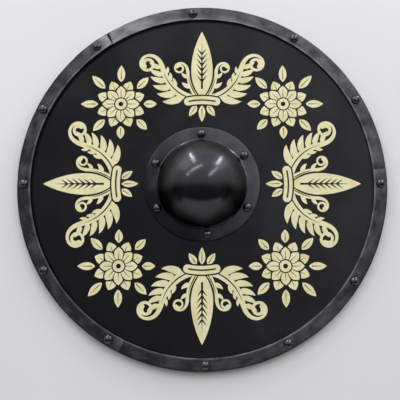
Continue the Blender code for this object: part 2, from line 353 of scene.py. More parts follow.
def rosette():
    """Two rows of petals round an eye, with loose leaves outside, set along +Y."""
    centre = 192
    layers = []
    loose = ((90, 31), (45, 29), (0, 27), (-45, 22), (-90, 24), (135, 29), (180, 27), (225, 22))
    for angle, length in loose:
        start = (38 * cos(radians(angle)), centre + 38 * sin(radians(angle)))
        layers += leaf(start, angle, length, 13, belly=0.45)
    for turn, reach, length, width in ((22.5, 12, 30, 17), (0, 5, 26, 15)):
        for petal in range(8):
            angle = turn + 45 * petal
            start = (reach * cos(radians(angle)), centre + reach * sin(radians(angle)))
            around = tendril(start, angle, [(length + 2.5, 0, 0)])
            layers.append((stroke(around, width + 4, lambda share: leaf_width(share, 0.6)), BLACK))
            layers += leaf(start, angle, length, width, belly=0.6)
    for radius, tone in ((11.5, BLACK), (9.5, GOLD), (4, BLACK)):
        layers.append((circle(radius, 36, (0, centre)), tone))
    return layers


def painted_figures():
    layers = []
    for quarter in range(4):
        layers += turned_by(spray(), 90 * quarter)
        layers += turned_by(rosette(), 45 + 90 * quarter)
    return layers


def inside_outline(outline, points):
    """Which points an outline winds round, however often it crosses itself."""
    ring = np.array(outline)
    after = np.roll(ring, -1, axis=0)
    x, y = points[:, :1], points[:, 1:]
    side = (after[:, 0] - ring[:, 0]) * (y - ring[:, 1]) - (x - ring[:, 0]) * (after[:, 1] - ring[:, 1])
    upward = (ring[:, 1] <= y) & (after[:, 1] > y) & (side > 0)
    downward = (ring[:, 1] > y) & (after[:, 1] <= y) & (side < 0)
    return upward.sum(1) != downward.sum(1)


def flat_face(outlines):
    """Triangles over a face that has all the outlines as edges, in millimetres."""
    points, edges = [], []
    for ring in outlines:
        first, count = len(points), len(ring)
        points += [Vector(point) for point in ring]
        edges += [(first + index, first + (index + 1) % count) for index in range(count)]
    places, _, triangles, *_ = delaunay_2d_cdt(points, edges, [], 0, 0.004, False)
    return np.array([tuple(place) for place in places]), np.array([tuple(three) for three in triangles])


def rivet_places(radius, angles):
    return [at_angle(radius, angle) for angle in angles]


def new_object(name, data):
    made = bpy.data.objects.new(name, data)
    bpy.context.scene.collection.objects.link(made)
    return made


def shade(mesh, sharp_angle=SHARP_ANGLE):
    mesh.shade_smooth()
    mesh.set_sharp_from_angle(angle=radians(sharp_angle))


def new_piece(name, mesh):
    shade(mesh)
    return new_object(name, mesh)


def mesh_of(name, bm):
    mesh = bpy.data.meshes.new(name)
    bm.to_mesh(mesh)
    bm.free()
    return mesh


def join_rings(bm, rings, inward=False, finish=0):
    """Walls of four-sided faces between rings of vertices that follow one another."""
    for ring, after in zip(rings, rings[1:]):
        for side in range(len(ring)):
            follow = (side + 1) % len(ring)
            around = (ring[side], after[side], after[follow], ring[follow])
            turned = around[:1] + around[:0:-1]
            bm.faces.new(turned if inward else around).material_index = finish


def dress(piece, nodes):
    """Set a finished piece in place of the CAD nodes."""
    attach(piece, "root")
    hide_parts(*nodes)


# The board


def tones_at(points, layers):
    """Which paint shows at each point, where the last layer lies on top."""
    tones = np.full(len(points), BLACK)
    for ring, tone in layers:
        boxed = (points >= np.min(ring, axis=0)) & (points <= np.max(ring, axis=0))
        near = np.flatnonzero(boxed.all(axis=1))
        tones[near[inside_outline(ring, points[near])]] = tone
    return tones


def add_side(bm, edge, holes, layers, height, front):
    """One side of the board, with its holes left open and its layers of paint."""
    places, triangles = flat_face([edge, *holes] + [ring for ring, tone in layers])
    middles = places[triangles].mean(axis=1)
    empty = ~inside_outline(edge, middles)
    for ring in holes:
        empty |= inside_outline(ring, middles)
    corners = [bm.verts.new((x / 1000, y / 1000, height)) for x, y in places]
    for three, tone, hollow in zip(triangles, tones_at(middles, layers), empty):
        if hollow:
            continue
        a, b, c = (corners[index] for index in three)
        clockwise = (b.co - a.co).cross(c.co - a.co).z < 0
        face = bm.faces.new((a, c, b) if clockwise == front else (a, b, c))
        face.material_index = int(tone) if front else BACK


def add_wall(bm, sides, profile, inward, middle=Vector((0, 0, 0))):
    """A bare wall round a middle, through (radius, height) pairs from the top down."""
    rows = []
    for radius, height in profile:
        ring = circle(radius, sides, middle)
        rows.append([bm.verts.new((x, y, height)) for x, y in ring])
    join_rings(bm, rows, inward, BARE)


def build_board(finishes):
    rivets = rivet_places(RIM_RIVET_RADIUS, RIM_RIVET_ANGLES)
    rivets += rivet_places(BOSS_RIVET_RADIUS, BOSS_RIVET_ANGLES)
    edge = circle(BOARD_RADIUS * 1000, EDGE_SIDES)
    drilled = [circle(HOLE_RADIUS * 1000, RIVET_HOLE_SIDES, place * 1000) for place in rivets]
    hole_front = circle(HAND_HOLE_RADIUS * 1000, HAND_HOLE_SIDES)
    hole_back = circle((HAND_HOLE_RADIUS + HOLE_ROUNDING) * 1000, HAND_HOLE_SIDES)
    bm = bmesh.new()
    add_side(bm, edge, [hole_front] + drilled, painted_figures(), BOARD_TOP, front=True)
    add_side(bm, edge, [hole_back] + drilled, [], BOARD_BOTTOM, front=False)
    rounded = [(HAND_HOLE_RADIUS, BOARD_TOP)]
    for out, up in ((0, 1), (0.1, 0.56), (0.4, 0.2), (1, 0)):
        rounded.append((HAND_HOLE_RADIUS + HOLE_ROUNDING * out, BOARD_BOTTOM + HOLE_ROUNDING * up))
    add_wall(bm, EDGE_SIDES, [(BOARD_RADIUS, BOARD_TOP), (BOARD_RADIUS, BOARD_BOTTOM)], inward=False)
    add_wall(bm, HAND_HOLE_SIDES, rounded, inward=True)
    straight = [(HOLE_RADIUS, BOARD_TOP), (HOLE_RADIUS, BOARD_BOTTOM)]
    for place in rivets:
        add_wall(bm, RIVET_HOLE_SIDES, straight, True, place)
    bmesh.ops.remove_doubles(bm, verts=bm.verts, dist=MERGE_DISTANCE)
    board = new_piece("painted_board", mesh_of("painted_board", bm))
    for finish in finishes:
        board.data.materials.append(finish)
    dress(board, ["board"])


# Geometry Nodes trees

MARK_INPUTS = [("Mark depth", "Float"), ("Mark size", "Float"), ("Seed", "Int")]
HAMMER_INPUTS = MARK_INPUTS + [("Steel", "Material")]


def new_tree(name, sockets):
    """A node tree, and what its named inputs are given."""
    tree = bpy.data.node_groups.new(name, "GeometryNodeTree")
    tree.interface.new_socket("Geometry", in_out="OUTPUT", socket_type="NodeSocketGeometry")
    for socket, kind in sockets:
        tree.interface.new_socket(socket, in_out="INPUT", socket_type=f"NodeSocket{kind}")
    return tree, add_node(tree, "NodeGroupInput")


def turning_tree():
    """A line of points, with the radius in X and the height in Z, turned round +Z."""
    tree, given = new_tree("turned_from_a_line", [("Line", "Geometry"), ("Sides", "Int")])
    line = {"Geometry": given["Line"]}
    count = add_node(tree, "GeometryNodeAttributeDomainSize", {}, line)["Point Count"]
    columns = add_node(tree, "ShaderNodeMath", {1: 1.0}, {0: given["Sides"]})[0]
    counts = {"Vertices X": columns, "Vertices Y": count}
    grid = add_node(tree, "GeometryNodeMeshGrid", {"Size X": 1.0, "Size Y": 1.0}, counts)
    place = add_node(tree, "GeometryNodeInputPosition")[0]
    spot = add_node(tree, "ShaderNodeSeparateXYZ", {}, {0: place})
    share = add_node(tree, "ShaderNodeMath", {1: 0.5}, {0: spot["X"]})[0]
    angle = add_node(tree, "ShaderNodeMath", {"operation": "MULTIPLY", 1: 2 * pi}, {0: share})[0]
    down = add_node(tree, "ShaderNodeMath", {1: 0.5}, {0: spot["Y"]})[0]
    steps = add_node(tree, "ShaderNodeMath", {"operation": "SUBTRACT", 1: 1.0}, {0: count})[0]
    row = add_node(tree, "ShaderNodeMath", {"operation": "MULTIPLY"}, {0: down, 1: steps})[0]
    whole = add_node(tree, "FunctionNodeFloatToInt", {"rounding_mode": "ROUND"}, {0: row})[0]
    links = {**line, "Value": place, "Index": whole}
    picked = add_node(tree, "GeometryNodeSampleIndex", {"data_type": "FLOAT_VECTOR"}, links)
    size = add_node(tree, "ShaderNodeSeparateXYZ", {}, {0: picked[0]})
    across = add_node(tree, "ShaderNodeMath", {"operation": "COSINE"}, {0: angle})[0]
    along = add_node(tree, "ShaderNodeMath", {"operation": "SINE"}, {0: angle})[0]
    x = add_node(tree, "ShaderNodeMath", {"operation": "MULTIPLY"}, {0: size["X"], 1: across})[0]
    y = add_node(tree, "ShaderNodeMath", {"operation": "MULTIPLY"}, {0: size["X"], 1: along})[0]
    turned = add_node(tree, "ShaderNodeCombineXYZ", {}, {0: x, 1: y, 2: size["Z"]})[0]
    links = {"Geometry": grid["Mesh"], "Position": turned}
    placed = add_node(tree, "GeometryNodeSetPosition", {}, links)[0]
    settings = {"Distance": MERGE_DISTANCE}
    closed = add_node(tree, "GeometryNodeMergeByDistance", settings, {"Geometry": placed})
    add_node(tree, "NodeGroupOutput", {}, {0: closed[0]})
    return tree


def hammering_tree():
    """Shallow marks of a planishing hammer, pushed in along the sheet's normals."""
    tree, given = new_tree("hammer_marks", [("Sheet", "Geometry")] + MARK_INPUTS)
    scale = add_node(tree, "ShaderNodeMath", {"operation": "DIVIDE", 0: 1.0}, {1: given["Mark size"]})[0]
    settings = {"noise_dimensions": "4D", "Detail": 1.0, "Roughness": 0.4}
    marks = add_node(tree, "ShaderNodeTexNoise", settings, {"W": given["Seed"], "Scale": scale})[0]
    high = add_node(tree, "ShaderNodeMath", {"operation": "SUBTRACT", 1: 0.5}, {0: marks})[0]
    links = {0: high, 1: given["Mark depth"]}
    push = add_node(tree, "ShaderNodeMath", {"operation": "MULTIPLY"}, links)[0]
    normal = add_node(tree, "GeometryNodeInputNormal")[0]
    offset = add_node(tree, "ShaderNodeVectorMath", {"operation": "SCALE"}, {0: normal, "Scale": push})[0]
    moved = add_node(tree, "GeometryNodeSetPosition", {}, {"Geometry": given["Sheet"], "Offset": offset})
    add_node(tree, "NodeGroupOutput", {}, {0: moved[0]})
    return tree


def finish_tree(tree, given, shape):
    """Hammer a shape, make it real and give it its steel."""
    marks = {name: given[name] for name, kind in MARK_INPUTS}
    real = add_node(tree, "GeometryNodeRealizeInstances", {}, {0: shape})
    hammered = add_node(tree, "GeometryNodeGroup", {"node_tree": HAMMERING}, {"Sheet": real[0], **marks})
    solid = add_node(tree, "GeometryNodeRealizeInstances", {}, {0: hammered[0]})
    links = {"Geometry": solid[0], "Material": given["Steel"]}
    steel = add_node(tree, "GeometryNodeSetMaterial", {}, links)
    add_node(tree, "NodeGroupOutput", {}, {0: steel[0]})
    return tree


def sheet_tree():
    tree, given = new_tree("hammered_sheet", [("Geometry", "Geometry")] + HAMMER_INPUTS)
    return finish_tree(tree, given, given["Geometry"])


def spinning_tree():
    tree, given = new_tree("spun_boss", [("Geometry", "Geometry"), ("Sides", "Int")] + HAMMER_INPUTS)
    links = {"Line": given["Geometry"], "Sides": given["Sides"]}
    turned = add_node(tree, "GeometryNodeGroup", {"node_tree": TURNING}, links)
    return finish_tree(tree, given, turned[0])


def riveting_tree():
    """A turned rivet on each point, each one turned and upset a little differently."""
    inputs = [("Geometry", "Geometry"), ("Rivet line", "Object")]
    inputs += [("Sides", "Int"), ("Size spread", "Float")]
    tree, given = new_tree("set_rivets", inputs + HAMMER_INPUTS)
    line = add_node(tree, "GeometryNodeObjectInfo", {}, {"Object": given["Rivet line"]})["Geometry"]
    links = {"Line": line, "Sides": given["Sides"]}
    rivet = add_node(tree, "GeometryNodeGroup", {"node_tree": TURNING}, links)[0]
    settings = {"data_type": "FLOAT", 2: 0.0, 3: 2 * pi}
    spin = add_node(tree, "FunctionNodeRandomValue", settings, {"Seed": given["Seed"]})[1]
    turn = add_node(tree, "ShaderNodeCombineXYZ", {}, {2: spin})[0]
    settings = {"operation": "SUBTRACT", 0: 1.0}
    least = add_node(tree, "ShaderNodeMath", settings, {1: given["Size spread"]})[0]
    settings = {"data_type": "FLOAT", 3: 1.0}
    wide = add_node(tree, "FunctionNodeRandomValue", settings, {2: least, "Seed": given["Seed"]})[1]
    scale = add_node(tree, "ShaderNodeCombineXYZ", {2: 1.0}, {0: wide, 1: wide})[0]
    links = {"Points": given["Geometry"], "Instance": rivet, "Rotation": turn, "Scale": scale}
    placed = add_node(tree, "GeometryNodeInstanceOnPoints", {}, links)
    return finish_tree(tree, given, placed[0])


TURNING = turning_tree()
HAMMERING = hammering_tree()
SHEET_TREE = sheet_tree()
SPINNING_TREE = spinning_tree()
RIVETING_TREE = riveting_tree()


def run_tree(piece, tree, values):
    """Put a tree on a piece, with its inputs set by their sockets' identifiers."""
    modifier = piece.modifiers.new(tree.name, "NODES")
    modifier.node_group = tree
    for socket in tree.interface.items_tree:
        if socket.in_out == "INPUT" and socket.name in values:
            modifier[socket.identifier] = values[socket.name]


def use_up_modifiers(piece, sharp_angle=SHARP_ANGLE):
    """Make the piece a plain mesh of what its modifiers give."""
    depsgraph = bpy.context.evaluated_depsgraph_get()
    mesh = bpy.data.meshes.new_from_object(piece.evaluated_get(depsgraph), depsgraph=depsgraph)
    piece.modifiers.clear()
    piece.data = mesh
    bm = bmesh.new()
    bm.from_mesh(mesh)
    bmesh.ops.dissolve_degenerate(bm, edges=bm.edges, dist=1e-6)
    bmesh.ops.recalc_face_normals(bm, faces=bm.faces)
    bm.to_mesh(mesh)
    bm.free()
    shade(mesh, sharp_angle)


def line_of_points(name, points):
    """Points joined in a line, as (radius, height) pairs."""
    mesh = bpy.data.meshes.new(name)
    edges = [(index, index + 1) for index in range(len(points) - 1)]
    mesh.from_pydata([(radius, 0, height) for radius, height in points], edges, [])
    return new_object(name, mesh)


def cut_away(piece, cutter):
    modifier = piece.modifiers.new(cutter.name, "BOOLEAN")
    modifier.operation = "DIFFERENCE"
    modifier.solver = "EXACT"
    modifier.object = cutter


def ease_edges(piece, width):
    bevel = piece.modifiers.new("eased_edges", "BEVEL")
    bevel.width = width
    bevel.segments = 2
    bevel.limit_method = "ANGLE"
    bevel.angle_limit = radians(45)


def drill_bits(name, places):
    """A rod through each place, for cutting the rivet holes."""
    bm = bmesh.new()
    rod = {"segments": 20, "radius1": HOLE_RADIUS, "radius2": HOLE_RADIUS, "depth": 0.3}
    for place in places:
        made = bmesh.ops.create_cone(bm, cap_ends=True, **rod)
        bmesh.ops.translate(bm, verts=made["verts"], vec=(place.x, place.y, 0))
    return new_piece(name, mesh_of(name, bm))


def scrap(*pieces):
    for piece in pieces:
        bpy.data.objects.remove(piece)


def corner_steps(corner):
    """How far in from an end its sections are, nearer each other where they shrink."""
    return [corner * (1 - cos(radians(15 * step))) for step in range(7)]


def corner_setback(corner, share):
    """How far a rounded corner draws the edge in, from none at 0 to all of it at 1."""
    return corner * (1 - sqrt(1 - share * share))


# The rim


def arc_points(centre, radius, start, end, steps):
    angles = [radians(start + (end - start) * step / steps) for step in range(steps + 1)]
    return [(centre[0] + radius * cos(angle), centre[1] + radius * sin(angle)) for angle in angles]


def even_points(start, end, steps):
    return [
        (start[0] + (end[0] - start[0]) * step / steps, start[1] + (end[1] - start[1]) * step / steps)
        for step in range(1, steps)
    ]


def channel_section(rise, inside):
    """The U section as (radius, height) pairs: out over the top, down, back under."""
    outside, top, bottom = SHIELD_RADIUS, RIM_TOP + rise, RIM_BOTTOM - rise
    bend, sheet = RIM_BEND_RADIUS, RIM_SHEET
    turn_in = outside - bend
    outer = [(inside, top)] + even_points((inside, top), (turn_in, top), 9)
    outer += arc_points((turn_in, top - bend), bend, 90, 0, 6)
    outer += even_points((outside, top - bend), (outside, bottom + bend), 4)
    outer += arc_points((turn_in, bottom + bend), bend, 0, -90, 6)
    outer += even_points((turn_in, bottom), (inside, bottom), 6) + [(inside, bottom)]
    inner = [(inside, bottom + sheet)] + even_points((inside, bottom + sheet), (turn_in, bottom + sheet), 3)
    inner += arc_points((turn_in, bottom + bend), bend - sheet, -90, 0, 3)
    inner += arc_points((turn_in, top - bend), bend - sheet, 0, 90, 3)
    inner += even_points((turn_in, top - sheet), (inside, top - sheet), 4) + [(inside, top - sheet)]
    return outer + inner


def strip_stations(start, end, over_start, over_end):
    """The (angle, rise, inner radius) of each section along a strip. The ends that lie
    over a neighbour are raised, and their inner corners are rounded."""
    raised = arc_degrees(2 * LAP_REACH + JOGGLE_CLEARANCE)
    lowered = raised + arc_degrees(JOGGLE_LENGTH)
    inside = SHIELD_RADIUS - RIM_WIDTH
    corner = arc_degrees(RIM_CORNER)
    near = corner_steps(corner)[1:]
    count = round((end - start) / SECTION_STEP)
    marks = [start + (end - start) * step / count for step in range(count + 1)]
    marks = [mark for mark in marks if min(mark - start, end - mark) > near[-1] + 0.1]
    marks += [start, end] + [start + reach for reach in near] + [end - reach for reach in near]
    stations = []
    for angle in sorted(marks):
        rise = setback = 0
        for over, reach in ((over_start, angle - start), (over_end, end - angle)):
            if over:
                rise = max(rise, LAP_RISE * smooth((lowered - reach) / (lowered - raised)))
                share = max(0, 1 - reach / corner)
                setback = max(setback, corner_setback(RIM_CORNER, share))
        stations.append((angle, rise, inside + setback))
    return stations


def prism(name, corners, low, high):
    bm = bmesh.new()
    lower = [bm.verts.new((corner.x, corner.y, low)) for corner in corners]
    upper = [bm.verts.new((corner.x, corner.y, high)) for corner in corners]
    bm.faces.new(lower)
    bm.faces.new(reversed(upper))
    join_rings(bm, [lower, upper])
    bmesh.ops.recalc_face_normals(bm, faces=bm.faces)
    return new_piece(name, mesh_of(name, bm))


def wall_cutter(name, lap):
    """What takes the outer wall off a strip that goes in under its neighbour."""
    beyond = arc_degrees(LAP_REACH + LAP_GAP)
    steps = 16
    angles = [lap - beyond + 2 * beyond * step / steps for step in range(steps + 1)]
    corners = [at_angle(SHIELD_RADIUS - RIM_SHEET - 2 * GAP, angle) for angle in angles]
    corners += [at_angle(SHIELD_RADIUS + RIM_WIDTH, angle) for angle in reversed(angles)]
    return prism(name, corners, -RIM_WIDTH, RIM_TOP + RIM_WIDTH)


def notch_cutter(name, lap, tip, tip_width, width, floor):
    """A wedge in from the outer edge, beside the end of the strip that laps over. It
    has its tip width at the tip and its width at the edge, and goes on as far again."""
    side = lap - arc_degrees(LAP_REACH)
    overlap = arc_degrees(GAP)
    beyond = 2 * SHIELD_RADIUS - tip
    corners = [
        at_angle(tip, side + overlap),
        at_angle(tip, side - arc_degrees(tip_width)),
        at_angle(beyond, side - arc_degrees(2 * width - tip_width)),
        at_angle(beyond, side + overlap),
    ]
    return prism(name, corners, floor, RIM_TOP + RIM_WIDTH)


def build_rim_strip(node, name, first_lap, second_lap, over_first, over_second, notched, seed, steel):
    start, end = first_lap - arc_degrees(LAP_REACH), second_lap + arc_degrees(LAP_REACH)
    bm = bmesh.new()
    rings = []
    for angle, rise, inside in strip_stations(start, end, over_first, over_second):
        section = channel_section(rise, inside)
        rings.append([bm.verts.new(at_angle(radius, angle, height)) for radius, height in section])
    join_rings(bm, rings, inward=True)
    bm.faces.new(reversed(rings[0]))
    bm.faces.new(rings[-1])
    strip = new_piece(name, mesh_of(name, bm))
    turns = [angle + whole for angle in RIM_RIVET_ANGLES for whole in (-360, 0, 360)]
    places = rivet_places(RIM_RIVET_RADIUS, [turn for turn in turns if start < turn < end])
    cutters = [drill_bits(f"{name}_drill", places)]
    if not over_first:
        cutters.append(wall_cutter("first_wall", first_lap))
    if not over_second:
        cutters.append(wall_cutter("second_wall", second_lap))
    if notched:
        tip, floor = SHIELD_RADIUS - NOTCH_DEPTH, RIM_TOP - RIM_SHEET / 2
        cutters.append(notch_cutter("rim_notch", second_lap, tip, NOTCH_TIP_WIDTH, NOTCH_WIDTH, floor))
        tip, floor = SHIELD_RADIUS - RIM_WIDTH - GAP, RIM_TOP - RIM_BEND_RADIUS
        cutters.append(notch_cutter("open_seam", second_lap, tip, SEAM_WIDTH / 3, SEAM_WIDTH, floor))
    for cutter in cutters:
        cut_away(strip, cutter)
    ease_edges(strip, width=0.00045)
    run_tree(strip, SHEET_TREE, {"Mark depth": 0.0006, "Mark size": 0.016, "Seed": seed, "Steel": steel})
    use_up_modifiers(strip)
    scrap(*cutters)
    filed = [end for end, over in ((start, over_first), (end, over_second)) if over]
    reach = arc_degrees(LAP_REACH)
    seams = ((first_lap + reach, over_first), (second_lap - reach, over_second))
    mark_wear_and_painted_light(strip, filed, [seam for seam, over in seams if not over])
    dress(strip, [node])


def mark_wear_and_painted_light(strip, filed, painted_shade):
    """How light the rim is drawn: by the angle from WEAR_AND_PAINTED_LIGHT, lighter
    at the filed ends that lap over, darker beside them on the strip that goes under as
    painted shade of the step, and darker still on the floor of the notch, about half a
    sheet down."""
    rubbed = strip.data.attributes.new("rubbed_back", "FLOAT", "POINT")
    values = []
    for vertex in strip.data.vertices:
        angle = degrees(atan2(vertex.co.y, vertex.co.x)) % 360
        for (first, before), (last, after) in zip(WEAR_AND_PAINTED_LIGHT, WEAR_AND_PAINTED_LIGHT[1:]):
            if first <= angle <= last:
                value = before + (after - before) * smooth((angle - first) / (last - first))
                break
        for end in filed:
            value += FILED_GAIN * smooth(1 - angle_between(angle, end) / arc_degrees(FILED_REACH))
        sunk = 0.3 * RIM_SHEET < RIM_TOP - vertex.co.z < 0.8 * RIM_SHEET
        # Painted shade beside each seam, below the step of the strip that laps over it; the floor of the
        # notch is drawn darker still
        for seam in painted_shade:
            away = angle_between(angle, seam)
            value *= 1 - SEAM_SHADE_STRENGTH * smooth(1 - away / arc_degrees(SEAM_SHADE_REACH))
            if sunk and away < arc_degrees(NOTCH_WIDTH):
                value *= NOTCH_FLOOR_LIGHTNESS
        values.append(value)
    rubbed.data.foreach_set("value", values)


def build_rim(steel):
    """Each strip has its two laps, whether it lies over at the first and at the
    second, whether it is notched, and the seed of its hammer marks."""
    right, upper_left, lower_left = [RIM_RIVET_ANGLES[index] for index in LAP_RIVETS]
    for strip in (
        ("rim_strip_left", "left_rim_strip", upper_left, lower_left, True, True, False, 3),
        ("rim_strip_lower_right", "lower_right_rim_strip", lower_left, right + 360, False, True, False, 7),
        ("rim_strip_upper_right", "upper_right_rim_strip", right, upper_left, False, False, True, 11),
    ):
        build_rim_strip(*strip, steel)


# The boss


def boss_line():
    """Down the outer side from the crown, round the flange and back up inside."""
    sphere = (DOME_RADIUS**2 + DOME_HEIGHT**2) / (2 * DOME_HEIGHT)
    centre = FLANGE_TOP + DOME_HEIGHT - sphere
    crease_height = FLANGE_TOP + CREASE_RADIUS
    crease_out = sqrt((sphere + CREASE_RADIUS) ** 2 - (crease_height - centre) ** 2)
    tangent = degrees(atan2(crease_height - centre, crease_out))
    edge = BOSS_SHEET * 0.35
    inner = sphere - BOSS_SHEET
    mouth = degrees(atan2(FLANGE_BOTTOM - centre, sqrt(inner**2 - (FLANGE_BOTTOM - centre) ** 2)))
    line = arc_points((0, centre), sphere, 90, tangent, 56)
    line += arc_points((crease_out, crease_height), CREASE_RADIUS, 180 + tangent, 270, 7)[1:]
    line += even_points((crease_out, FLANGE_TOP), (FLANGE_RADIUS - edge, FLANGE_TOP), 7)
    line += arc_points((FLANGE_RADIUS - edge, FLANGE_TOP - edge), edge, 90, 0, 4)
    line += arc_points((FLANGE_RADIUS - edge / 2, FLANGE_BOTTOM + edge / 2), edge / 2, 0, -90, 2)
    mouth_radius = inner * cos(radians(mouth))
    line += even_points((FLANGE_RADIUS - edge / 2, FLANGE_BOTTOM), (mouth_radius, FLANGE_BOTTOM), 6)
    line += arc_points((0, centre), inner, mouth, 90, 30)
    line[0] = (0, line[0][1])
    line[-1] = (0, line[-1][1])
    return line


def build_boss(steel):
    boss = line_of_points("hollow_boss", boss_line())
    values = {"Sides": 192, "Mark depth": 0.00025, "Mark size": 0.035, "Seed": 5, "Steel": steel}
    run_tree(boss, SPINNING_TREE, values)
    drill = drill_bits("boss_drill", rivet_places(BOSS_RIVET_RADIUS, BOSS_RIVET_ANGLES))
    cut_away(boss, drill)
    use_up_modifiers(boss, 40)
    scrap(drill)
    dress(boss, ["boss"])


# The rivets


def rivet_line(head_bottom, tail_top, head_radius, head_height):
    """A domed head with an eased edge, the shank and a flat set tail."""
    edge = 0.0004
    tail_bottom = tail_top - TAIL_THICKNESS
    line = []
    for step in range(13):
        angle = radians(90 - 90 * step / 12)
        line.append((head_radius * cos(angle), head_bottom + edge + (head_height - edge) * sin(angle)))
    line += [(head_radius - edge * 0.3, head_bottom + edge * 0.3), (head_radius - edge, head_bottom)]
    line += [(SHANK_RADIUS, head_bottom), (SHANK_RADIUS, tail_top), (TAIL_RADIUS - edge, tail_top)]
    line += [(TAIL_RADIUS, tail_top - edge), (TAIL_RADIUS, tail_bottom + edge * 1.5)]
    line += [(TAIL_RADIUS - edge, tail_bottom + edge * 0.3), (TAIL_RADIUS - edge * 3, tail_bottom)]
    line.append((0, tail_bottom))
    line[0] = (0, line[0][1])
    return line


def build_rivets(name, node, radius, angles, chosen, line, seed, steel):
    mesh = bpy.data.meshes.new(name)
    mesh.from_pydata([at_angle(radius, angles[index]) for index in chosen], [], [])
    rivets = new_object(name, mesh)
    pattern = line_of_points(f"{name}_line", line)
    values = {"Rivet line": pattern, "Sides": 28, "Size spread": 0.04, "Mark depth": 0.0004}
    run_tree(rivets, RIVETING_TREE, {**values, "Mark size": 0.004, "Seed": seed, "Steel": steel})
    use_up_modifiers(rivets, 50)
    scrap(pattern)
    dress(rivets, [node.format(index + 1) for index in chosen])


def build_all_rivets(steel):
    rim_head, boss_head = RIM_TOP + GAP, FLANGE_TOP + GAP
    rim_tail, boss_tail = RIM_BOTTOM - GAP, BOARD_BOTTOM - GAP
    plain = [index for index in range(len(RIM_RIVET_ANGLES)) if index not in LAP_RIVETS]
    rim = ("rim_rivet_{:02d}", RIM_RIVET_RADIUS, RIM_RIVET_ANGLES)
    boss = ("boss_rivet_{}", BOSS_RIVET_RADIUS, BOSS_RIVET_ANGLES)
    build_rivets("rim_rivets", *rim, plain, rivet_line(rim_head, rim_tail, *RIM_HEAD), 1, steel)
    lap = rivet_line(rim_head + LAP_RISE, rim_tail - LAP_RISE, *RIM_HEAD)
    build_rivets("lap_rivets", *rim, LAP_RIVETS, lap, 2, steel)
    plain = [index for index in range(len(BOSS_RIVET_ANGLES)) if index not in GRIP_RIVETS]
    build_rivets("boss_rivets", *boss, plain, rivet_line(boss_head, boss_tail, *BOSS_HEAD), 3, steel)
    through = rivet_line(boss_head, boss_tail - GRIP_THICKNESS - GAP, *BOSS_HEAD)
    build_rivets("grip_rivets", *boss, GRIP_RIVETS, through, 4, steel)


# The grip


def build_grip(steel):
    places = [rivet_places(BOSS_RIVET_RADIUS, BOSS_RIVET_ANGLES)[index] for index in GRIP_RIVETS]
    along = places[0] - places[1]
    half_length = hypot(along.x, along.y) / 2 + GRIP_END
    ramp_start = HAND_HOLE_RADIUS - GRIP_HOLE_CLEARANCE
    ramp_end = ramp_start - GRIP_RAMP
    rolled = ramp_end - GRIP_RAMP
    top = BOARD_BOTTOM - GAP
    corner, rows, columns = 0.009, 46, 14
    ends = [half_length - step for step in corner_steps(corner)]
    middle = [ends[-1] * row / rows for row in range(rows - 1, -rows, -1)]
    bm = bmesh.new()
    rings = []
    for distance in ends + middle + [-end for end in reversed(ends)]:
        reach = abs(distance)
        raised = smooth((ramp_start - reach) / GRIP_RAMP)
        roll = smooth((ramp_end - reach) / (ramp_end - rolled))
        share = max(0, (reach - (half_length - corner)) / corner)
        width = GRIP_WIDTH + (GRIP_ROLLED_WIDTH - GRIP_WIDTH) * roll
        width -= 2 * corner_setback(corner, share)
        ring = []
        for height, order in ((top, 1), (top - GRIP_THICKNESS, -1)):
            for step in range(columns + 1):
                across = order * (2 * step / columns - 1)
                lift = GRIP_RISE * raised + GRIP_DISH * roll * across**2
                ring.append(bm.verts.new((distance, width / 2 * across, height + lift)))
        rings.append(ring)
    join_rings(bm, rings)
    bm.faces.new(rings[0])
    bm.faces.new(reversed(rings[-1]))
    bmesh.ops.recalc_face_normals(bm, faces=bm.faces)
    bmesh.ops.rotate(bm, verts=bm.verts, matrix=Matrix.Rotation(atan2(along.y, along.x), 3, "Z"))
    bmesh.ops.translate(bm, verts=bm.verts, vec=(places[0] + places[1]) / 2)
    grip = new_piece("forged_grip", mesh_of("forged_grip", bm))
    drill = drill_bits("grip_drill", places)
    cut_away(grip, drill)
    ease_edges(grip, width=0.0006)
    run_tree(grip, SHEET_TREE, {"Mark depth": 0.0007, "Mark size": 0.012, "Seed": 9, "Steel": steel})
    use_up_modifiers(grip)
    scrap(drill)
    dress(grip, ["grip"])


# Materials


def new_material(name, settings):
    """A material with its shader's own sockets set, and its object coordinates."""
    material = bpy.data.materials.new(name)
    material.use_nodes = True
    tree = material.node_tree
    shader = tree.nodes["Principled BSDF"]
    for socket, value in settings.items():
        shader.inputs[socket].default_value = value
    place = add_node(tree, "ShaderNodeTexCoord")["Object"]
    return material, tree, shader, place


def blotches(millimetres):
    """The scale of a pattern whose blotches or bands are so wide."""
    return 1000 / millimetres


def from_middle(tree, place):
    """The distance from the shield's axis."""
    flat = add_node(tree, "ShaderNodeVectorMath", {"operation": "MULTIPLY", 1: (1, 1, 0)}, {0: place})[0]
    return add_node(tree, "ShaderNodeVectorMath", {"operation": "LENGTH"}, {0: flat})["Value"]


def along_rim(tree, place, squeeze):
    """Coordinates that run round the rim. Across its width they are squeezed, so
    that a pattern is drawn out along the strip, as hammering and rubbing leave it."""
    flat = add_node(tree, "ShaderNodeVectorMath", {"operation": "MULTIPLY", 1: (1, 1, 0)}, {0: place})[0]
    way = add_node(tree, "ShaderNodeVectorMath", {"operation": "NORMALIZE"}, {0: flat})[0]
    settings = {"operation": "SCALE", "Scale": SHIELD_RADIUS}
    ring = add_node(tree, "ShaderNodeVectorMath", settings, {0: way})[0]
    height = add_node(tree, "ShaderNodeSeparateXYZ", {}, {0: place})["Z"]
    links = {0: from_middle(tree, place), 1: height}
    out = add_node(tree, "ShaderNodeMath", {"operation": "SUBTRACT"}, links)[0]
    across = add_node(tree, "ShaderNodeMath", {"operation": "MULTIPLY", 1: squeeze}, {0: out})[0]
    lifted = add_node(tree, "ShaderNodeCombineXYZ", {}, {2: across})[0]
    return add_node(tree, "ShaderNodeVectorMath", {"operation": "ADD"}, {0: ring, 1: lifted})[0]


